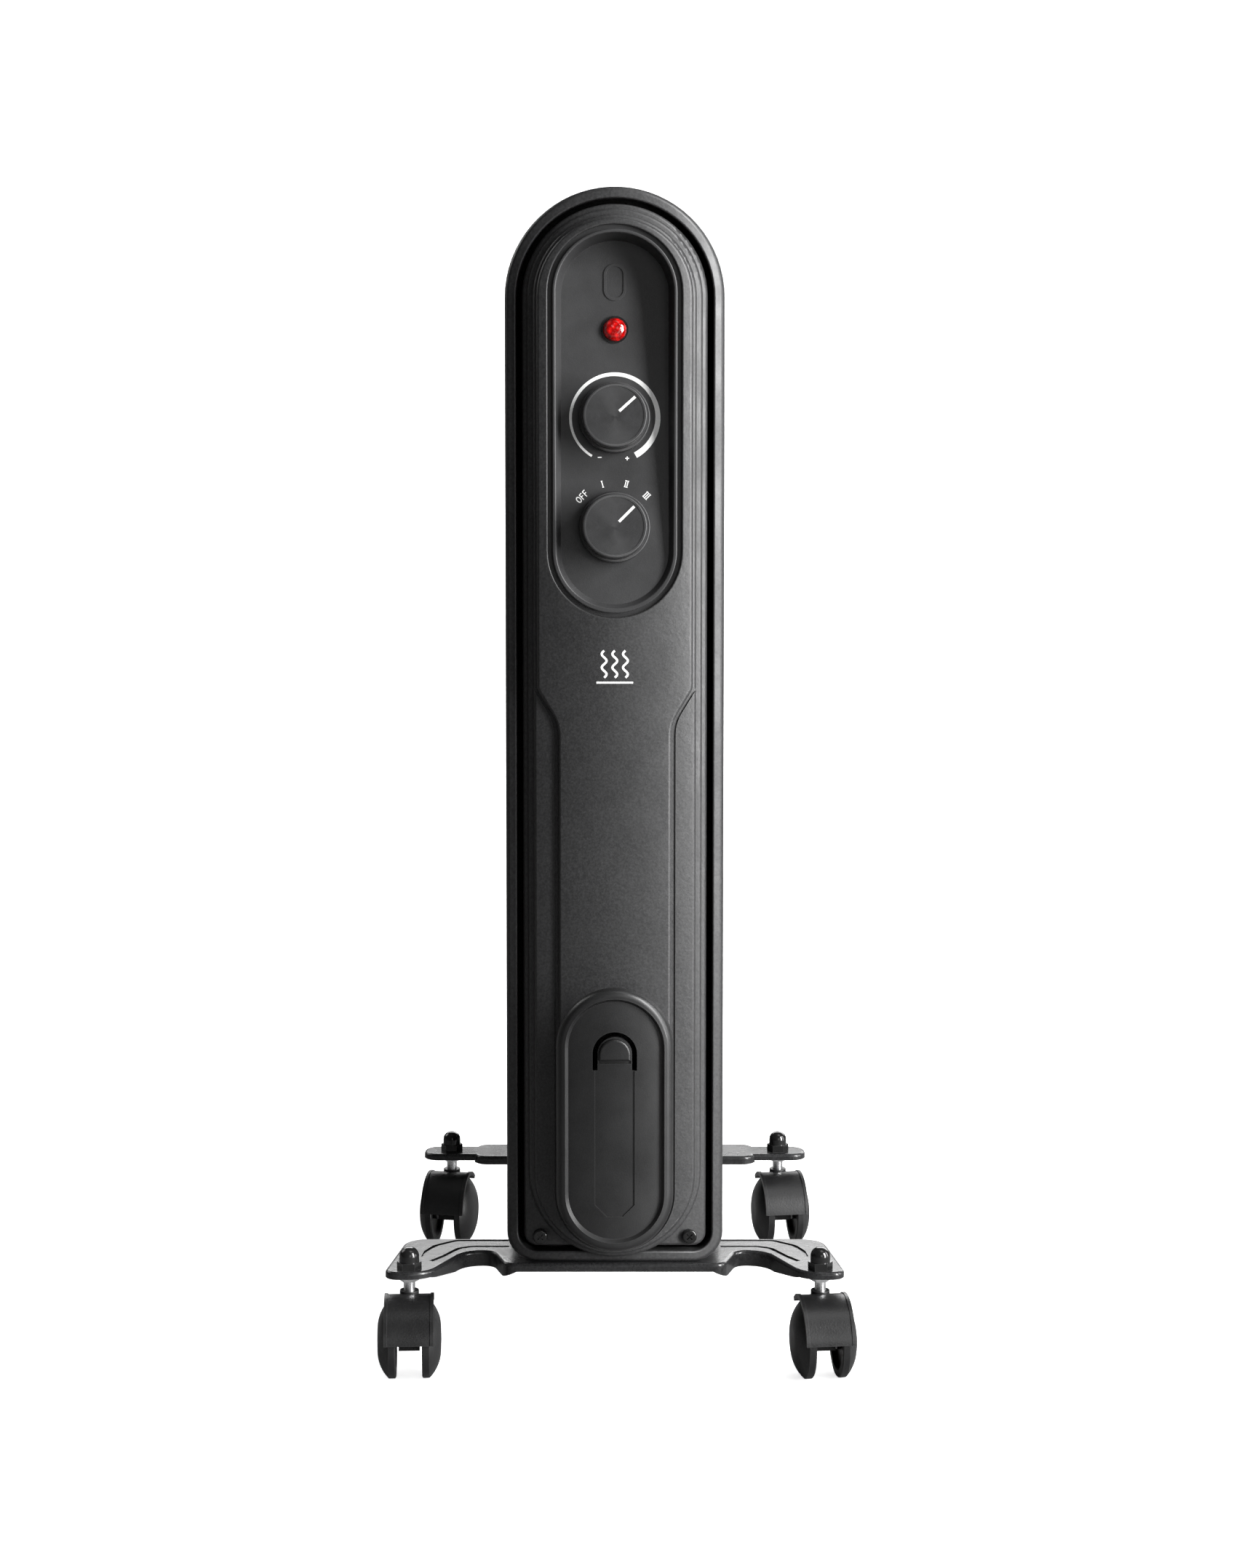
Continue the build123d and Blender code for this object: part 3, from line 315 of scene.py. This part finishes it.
COVER_CROWN = 4.5  # what Shading.crown takes, in 1 / metre
WRAP_CROWN = 7.0

charcoal = powder_coat(
    "charcoal_coat",
    dark=grey(0.02, 0.0205),
    light=grey(0.042, 0.043),
    wear=grey(0.1),
    crown=COVER_CROWN,
)
fin_coat = powder_coat(
    "fin_coat", dark=grey(0.015, 0.0155), light=grey(0.034, 0.035), wear=grey(0.09)
)
foot_coat = powder_coat(
    "foot_coat",
    dark=grey(0.012, 0.0125),
    light=grey(0.026, 0.027),
    wear=grey(0.1),
    roughness=(0.2, 0.32),
    grain=0.0016,
)
panel_plastic = moulded(
    "panel_plastic", dark=grey(0.02, 0.0205), light=grey(0.032, 0.033), wear=grey(0.06)
)
wrap_plastic = moulded(
    "wrap_plastic",
    dark=grey(0.009, 0.0092),
    light=grey(0.016, 0.0164),
    wear=grey(0.06),
    roughness=(0.34, 0.46),
    crown=WRAP_CROWN,
)
caster_plastic = moulded(
    "caster_plastic",
    dark=grey(0.005, 0.0052),
    light=grey(0.014, 0.0144),
    wear=grey(0.05),
    roughness=(0.3, 0.46),
    grain=0.0011,
    depth=0.00009,
)
wheel_plastic = moulded(
    "wheel_plastic",
    dark=grey(0.006, 0.0062),
    light=grey(0.016, 0.0164),
    wear=grey(0.06),
    roughness=(0.3, 0.46),
    grain=0.0014,
)
insulator = moulded(
    "insulator", dark=(0.6, 0.58, 0.5), light=(0.72, 0.7, 0.62), wear=(0.8, 0.78, 0.7)
)
lamp = moulded(
    "lamp_glass",
    dark=(0.6, 0.3, 0.2),
    light=(0.8, 0.5, 0.35),
    wear=(0.8, 0.6, 0.5),
    roughness=(0.05, 0.1),
)
black_gloss = moulded(
    "black_gloss",
    dark=grey(0.006),
    light=grey(0.012),
    wear=grey(0.05),
    roughness=(0.1, 0.2),
    grain=0.002,
    depth=0.00002,
)
zinc = metal("zinc", dark=(0.42, 0.43, 0.42), light=(0.66, 0.66, 0.64), roughness=(0.25, 0.45))
chrome = metal(
    "chrome",
    dark=grey(0.8, 0.81),
    light=grey(0.92, 0.93),
    roughness=(0.2, 0.34),
    streak=(1.0, 1.0, 30.0),
    depth=0.00001,
)
element_steel = metal(
    "element_steel",
    dark=(0.3, 0.28, 0.25),
    light=(0.5, 0.47, 0.42),
    roughness=(0.3, 0.5),
    rust=(0.18, 0.1, 0.06),
)
alloy = metal(
    "alloy", dark=grey(0.6), light=grey(0.75), roughness=(0.2, 0.35), streak=(1.0, 20.0, 1.0)
)
lens = red_lens_with_painted_light("pilot_lens")
white_ink = ink("white_ink")
inlet_rubber = rubber("inlet_rubber")
knob_tones = {"dark": grey(0.022, 0.0225), "light": grey(0.03, 0.031), "wear": grey(0.08)}
thermostat_plastic = turned("thermostat_plastic", thermostat_spot, **knob_tones)
mode_plastic = turned("mode_plastic", mode_spot, **knob_tones)

by_slot = {
    "charcoal_paint": charcoal,
    "black_paint": foot_coat,
    "panel_plastic": panel_plastic,
    "wrap_plastic": wrap_plastic,
    "caster_plastic": caster_plastic,
    "red_lens": lens,
    "lamp_glass": lamp,
    "zinc_steel": zinc,
    "bright_chrome": chrome,
    "black_steel": black_gloss,
    "element_steel": element_steel,
    "shaft_alloy": alloy,
    "gasket_rubber": inlet_rubber,
    "insulator": insulator,
}
by_node = {"thermostat_knob": thermostat_plastic, "mode_knob": mode_plastic}
for name in frame["nodes"]:
    if name.startswith("fin_"):
        by_node[name] = fin_coat
    elif "_wheel_" in name:
        by_node[name] = wheel_plastic

slots = {part["node"]: part["material_slot"] for part in frame["record"]["subparts"]}
for name, piece in frame["nodes"].items():
    material = by_node.get(name) or by_slot[slots[name]]
    if not piece.material_slots:
        piece.data.materials.append(material)
    for material_slot in piece.material_slots:
        material_slot.material = material


# ---------------------------------------------------------------------------
# Printed marks and pointer lines, as thin raised shapes
# ---------------------------------------------------------------------------

INK_HEIGHT = 0.07 * MM


def ribbon(bm, place, left, right, height, closed=False):
    """Closed strip between two rows of flat points (in mm), raised by a height in metres."""
    count = len(left)
    rows = []
    for row in (left, right):
        low = [bm.verts.new(place @ Vector((x * MM, y * MM, 0.0))) for x, y in row]
        high = [bm.verts.new(place @ Vector((x * MM, y * MM, height))) for x, y in row]
        rows.append((low, high))
    (left_low, left_high), (right_low, right_high) = rows
    steps = range(count) if closed else range(count - 1)
    for i in steps:
        j = (i + 1) % count
        bm.faces.new((left_high[i], left_high[j], right_high[j], right_high[i]))
        bm.faces.new((left_low[j], left_low[i], right_low[i], right_low[j]))
        bm.faces.new((left_low[i], left_low[j], left_high[j], left_high[i]))
        bm.faces.new((right_low[j], right_low[i], right_high[i], right_high[j]))
    if not closed:
        bm.faces.new((left_low[0], left_high[0], right_high[0], right_low[0]))
        bm.faces.new((left_low[-1], right_low[-1], right_high[-1], left_high[-1]))


def stroke(bm, place, points, width, height=INK_HEIGHT, closed=False):
    """Line of even width along flat points in mm, with mitred corners."""
    count = len(points)
    left, right = [], []
    for i, (x, y) in enumerate(points):
        before = points[i - 1] if (i or closed) else None
        after = points[(i + 1) % count] if (i < count - 1 or closed) else None
        ways = []
        if before:
            ways.append(Vector((x - before[0], y - before[1])).normalized())
        if after:
            ways.append(Vector((after[0] - x, after[1] - y)).normalized())
        way = sum(ways, Vector((0.0, 0.0))).normalized()
        side = Vector((-way.y, way.x)) * (width / 2 / max(0.5, way.dot(ways[0])))
        left.append((x + side.x, y + side.y))
        right.append((x - side.x, y - side.y))
    ribbon(bm, place, left, right, height, closed)


def mesh_piece(name, bm, material, body):
    """Turns the finished bmesh into a piece that rides on a body."""
    bmesh.ops.recalc_face_normals(bm, faces=bm.faces)
    mesh = bpy.data.meshes.new(name)
    bm.to_mesh(mesh)
    bm.free()
    mesh.materials.append(material)
    piece = bpy.data.objects.new(name, mesh)
    scene.collection.objects.link(piece)
    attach(piece, body)
    return piece


def clock_point(radius, turn):
    """Flat point on a circle, at a turn in degrees clockwise from the top."""
    return (radius * sin(radians(turn)), radius * cos(radians(turn)))


def clock_points(radius, start, end, count):
    """Evenly spread points on a circle from one turn to another."""
    return [
        clock_point(radius, start + (end - start) * i / (count - 1)) for i in range(count)
    ]


def turned_place(place, x, y, turn):
    """The place moved to a flat point in mm and turned clockwise by degrees."""
    shift = Matrix.Translation((x * MM, y * MM, 0.0))
    return place @ shift @ Matrix.Rotation(-radians(turn), 4, "Z")


# Letters and numerals, with every size in mm
LETTER_HEIGHT = 3.1
LETTER_STROKE = 0.5
O_HALF_WIDTH = 0.95
O_POINTS = 24
F_STEM = -0.75
F_ARM_START = -0.55
F_OVERRUN = 0.2
F_ARMS = ((LETTER_HEIGHT / 2, 1.5), (0.1, 1.2))  # height, and reach from the stem
BAR_PITCH = 1.05
SERIF_OVERHANG = 0.5
SERIF_LIFT = 0.12
SERIF_STROKE = 0.26


def letter_o(bm, place, x):
    outline = []
    for i in range(O_POINTS):
        turn = 2 * pi * i / O_POINTS
        outline.append((x + O_HALF_WIDTH * cos(turn), LETTER_HEIGHT / 2 * sin(turn)))
    stroke(bm, place, outline, LETTER_STROKE, closed=True)


def letter_f(bm, place, x):
    stem, top = x + F_STEM, LETTER_HEIGHT / 2 + F_OVERRUN
    stroke(bm, place, [(stem, -top), (stem, top)], LETTER_STROKE)
    for y, reach in F_ARMS:
        stroke(bm, place, [(x + F_ARM_START, y), (stem + reach, y)], LETTER_STROKE)


def numeral(bm, place, count):
    """Upright bars with short serifs, one bar for each unit."""
    for i in range(count):
        x = (i - (count - 1) / 2) * BAR_PITCH
        stroke(bm, place, [(x, -LETTER_HEIGHT / 2), (x, LETTER_HEIGHT / 2)], LETTER_STROKE)
    half = (count - 1) / 2 * BAR_PITCH + SERIF_OVERHANG
    for y in (-LETTER_HEIGHT / 2 - SERIF_LIFT, LETTER_HEIGHT / 2 + SERIF_LIFT):
        stroke(bm, place, [(-half, y), (half, y)], SERIF_STROKE)


marks = bmesh.new()
thermostat_floor = basis(thermostat_spot)
mode_floor = basis(mode_spot)

# Heat scale: an arc that widens clockwise, from beside the minus to beside the plus
ARC_START, ARC_END = -149.0, 151.0
ARC_OUTER = 23.6
ARC_THIN = 1.2
ARC_GROWTH, ARC_EASE = 1.9, 1.4
ARC_POINTS = 121

outer = clock_points(ARC_OUTER, ARC_START, ARC_END, ARC_POINTS)
inner = []
for i in range(ARC_POINTS):
    share = i / (ARC_POINTS - 1)
    width = ARC_THIN + ARC_GROWTH * share ** ARC_EASE
    inner.append(clock_point(ARC_OUTER - width, ARC_START + (ARC_END - ARC_START) * share))
ribbon(marks, thermostat_floor, outer, inner, INK_HEIGHT)

SIGN_RADIUS = 21.9
SIGN_REACH = 1.0
SIGN_STROKE = 0.5
MINUS_TURN, PLUS_TURN = -159.0, 163.0

for turn in (MINUS_TURN, PLUS_TURN):
    place = turned_place(thermostat_floor, *clock_point(SIGN_RADIUS, turn), 0.0)
    stroke(marks, place, [(-SIGN_REACH, 0.0), (SIGN_REACH, 0.0)], SIGN_STROKE)
    if turn == PLUS_TURN:
        for way in (1, -1):
            upright = [(0.0, way * SIGN_STROKE / 2), (0.0, way * SIGN_REACH)]
            stroke(marks, place, upright, SIGN_STROKE)

# Positions of the power dial
LABEL_RADIUS = 23.3
OFF_TURN = -46.0
STAGE_TURNS = (-16.0, 15.0, 45.0)
OFF_SPREAD = (-2.6, 0.0, 2.3)  # where the three letters of OFF stand

place = turned_place(mode_floor, *clock_point(LABEL_RADIUS, OFF_TURN), OFF_TURN)
for letter, x in zip((letter_o, letter_f, letter_f), OFF_SPREAD):
    letter(marks, place, x)
for stage, turn in enumerate(STAGE_TURNS, 1):
    numeral(marks, turned_place(mode_floor, *clock_point(LABEL_RADIUS, turn), turn), stage)

mesh_piece("dial_marks", marks, white_ink, ROOT)

# Dark bezel around the pilot lens
LENS_RADIUS = 6.1
BEZEL_WIDTH = 0.9
BEZEL_CLEARANCE = 0.1
BEZEL_HEIGHT = 0.9 * MM
BEZEL_POINTS = 48

bezel = bmesh.new()
bezel_radius = LENS_RADIUS + BEZEL_WIDTH / 2 + BEZEL_CLEARANCE
bezel_line = clock_points(bezel_radius, 0.0, 360.0 - 360.0 / BEZEL_POINTS, BEZEL_POINTS)
stroke(bezel, basis(lens_spot), bezel_line, BEZEL_WIDTH, BEZEL_HEIGHT, closed=True)
mesh_piece("lens_bezel", bezel, black_gloss, ROOT)

# Heat symbol on the cover: three rising waves over a bar
SYMBOL_Z = 374.0
WAVE_PITCH = 5.5
WAVE_SWING = 1.25
WAVE_HEIGHT = 14.0
WAVE_COUNT, WAVE_STEPS = 2, 32
WAVE_STROKE = 1.15
BAR_HALF, BAR_Y, BAR_STROKE = 9.5, -9.6, 1.0

waves = bmesh.new()
symbol_spot = Matrix.Translation((0.0, face_y, SYMBOL_Z * MM))
symbol_place = symbol_spot @ Matrix.Rotation(radians(90.0), 4, "X")
for offset in (-WAVE_PITCH, 0.0, WAVE_PITCH):
    line = []
    for i in range(WAVE_STEPS + 1):
        swing = WAVE_SWING * sin(2 * pi * WAVE_COUNT * i / WAVE_STEPS)
        line.append((offset + swing, -WAVE_HEIGHT / 2 + WAVE_HEIGHT * i / WAVE_STEPS))
    stroke(waves, symbol_place, line, WAVE_STROKE)
stroke(waves, symbol_place, [(-BAR_HALF, BAR_Y), (BAR_HALF, BAR_Y)], BAR_STROKE)
mesh_piece("heat_symbol", waves, white_ink, ROOT)

# Pointer lines in the knobs' grooves
POINTER_LENGTH = 11.0
POINTER_WIDTH = 1.35
POINTER_CENTRE = 8.6
POINTER_HEIGHT = 0.42 * MM
GROOVE_LIFT = 16.0 * MM

near, far = POINTER_CENTRE - POINTER_LENGTH / 2, POINTER_CENTRE + POINTER_LENGTH / 2
for name, body, spot, turn in (
    ("thermostat_pointer", "thermostat_dial", thermostat_spot, 48.0),
    ("mode_pointer", "mode_dial", mode_spot, 45.0),
):
    pointer = bmesh.new()
    groove = turned_place(basis(spot, GROOVE_LIFT), 0.0, 0.0, turn)
    stroke(pointer, groove, [(0.0, near), (0.0, far)], POINTER_WIDTH, POINTER_HEIGHT)
    mesh_piece(name, pointer, white_ink, body)


# ---------------------------------------------------------------------------
# Studio: pale floor that curves up into a backdrop, soft lights, camera
# ---------------------------------------------------------------------------

PAPER_GLOW = 0.85
PAPER_BOUNCE = grey(0.18)
PAPER_ROUGHNESS = 0.9


def studio_paper():
    """White paper to the camera, which throws little light back at the object."""
    s = Shading("studio_paper")
    seen = s.node("ShaderNodeLightPath").outputs["Is Camera Ray"]
    fibres = s.noise(0.004, detail=4.0, roughness=0.6)
    paper = s.mix(s.ramp(fibres, 0.3, 0.7), grey(0.86), grey(0.9))
    s.join(paper, s.shader.inputs["Emission Color"])
    s.join(s.math("MULTIPLY", seen, PAPER_GLOW), s.shader.inputs["Emission Strength"])
    return s.finish(s.mix(seen, PAPER_BOUNCE, paper), PAPER_ROUGHNESS)


def backdrop():
    """Sheet of paper: level floor, a wide curve, then a wall, with sizes in metres."""
    half_width, front, back, bend, top = 4.0, -3.5, 2.2, 1.2, 4.0
    bend_steps = 24
    profile = [(front, 0.0)]
    for i in range(bend_steps + 1):
        turn = radians(90.0 * i / bend_steps)
        profile.append((back - bend + bend * sin(turn), bend - bend * cos(turn)))
    profile.append((back, top))
    bm = bmesh.new()
    rows = [[bm.verts.new((x, y, z)) for y, z in profile] for x in (-half_width, half_width)]
    for i in range(len(profile) - 1):
        face = bm.faces.new((rows[0][i], rows[1][i], rows[1][i + 1], rows[0][i + 1]))
        face.smooth = True
    mesh = bpy.data.meshes.new("studio_floor")
    bm.to_mesh(mesh)
    bm.free()
    mesh.materials.append(studio_paper())
    sheet = bpy.data.objects.new("studio_floor", mesh)
    scene.collection.objects.link(sheet)


backdrop()


def area_light(name, place, target, width, height, power):
    """Rectangular light, with places and sizes in metres and the power in watts."""
    data = bpy.data.lights.new(name, "AREA")
    data.shape = "RECTANGLE"
    data.size, data.size_y = width, height
    data.energy = power
    light = bpy.data.objects.new(name, data)
    light.visible_camera = False
    light.location = place
    light.rotation_mode = "QUATERNION"
    light.rotation_quaternion = (Vector(target) - Vector(place)).to_track_quat("-Z", "Y")
    scene.collection.objects.link(light)


CASING_MIDDLE = (0.0, -0.1, 0.35)
BODY_MIDDLE = (0.0, 0.0, 0.3)
BODY_LOW = (0.0, 0.0, 0.2)

area_light("key_right", (1.75, -1.35, 0.9), CASING_MIDDLE, 0.6, 1.9, 128.0)
area_light("side_right", (1.6, -0.2, 0.5), CASING_MIDDLE, 0.3, 1.6, 18.0)
area_light("top_soft", (0.6, -0.5, 2.3), BODY_MIDDLE, 1.0, 1.0, 7.0)
area_light("front_soft", (0.7, -2.6, 0.7), BODY_MIDDLE, 1.0, 1.0, 7.0)
area_light("fill_left", (-1.6, 0.9, 1.3), BODY_MIDDLE, 1.0, 1.0, 9.0)
area_light("glow_back", (0.3, 2.0, 0.95), BODY_LOW, 3.2, 1.3, 70.0)

# The air is white to the camera and dim to the object, like the paper
AIR_DIM, AIR_WHITE = 0.07, 1.0

world = bpy.data.worlds.new("studio_air")
world.use_nodes = True
air = world.node_tree.nodes["Background"]
air.inputs["Color"].default_value = (1.0, 1.0, 1.0, 1.0)
brightness = world.node_tree.nodes.new("ShaderNodeMapRange")
brightness.inputs["To Min"].default_value = AIR_DIM
brightness.inputs["To Max"].default_value = AIR_WHITE
light_path = world.node_tree.nodes.new("ShaderNodeLightPath")
world.node_tree.links.new(light_path.outputs["Is Camera Ray"], brightness.inputs["Value"])
world.node_tree.links.new(brightness.outputs["Result"], air.inputs["Strength"])
scene.world = world

CAMERA_LENS = 64.6
CAMERA_SHIFT_X, CAMERA_SHIFT_Y = 0.0081, -0.0973
CAMERA_DISTANCE, CAMERA_HEIGHT, CAMERA_PITCH = 1.45, 0.5, 4.3

camera_data = bpy.data.cameras.new("camera")
camera_data.lens = CAMERA_LENS
camera_data.shift_x = CAMERA_SHIFT_X
camera_data.shift_y = CAMERA_SHIFT_Y
camera = bpy.data.objects.new("camera", camera_data)
camera.location = (0.0, face_y - CAMERA_DISTANCE, CAMERA_HEIGHT)
camera.rotation_euler = (radians(90.0 - CAMERA_PITCH), 0.0, 0.0)
scene.collection.objects.link(camera)
scene.camera = camera
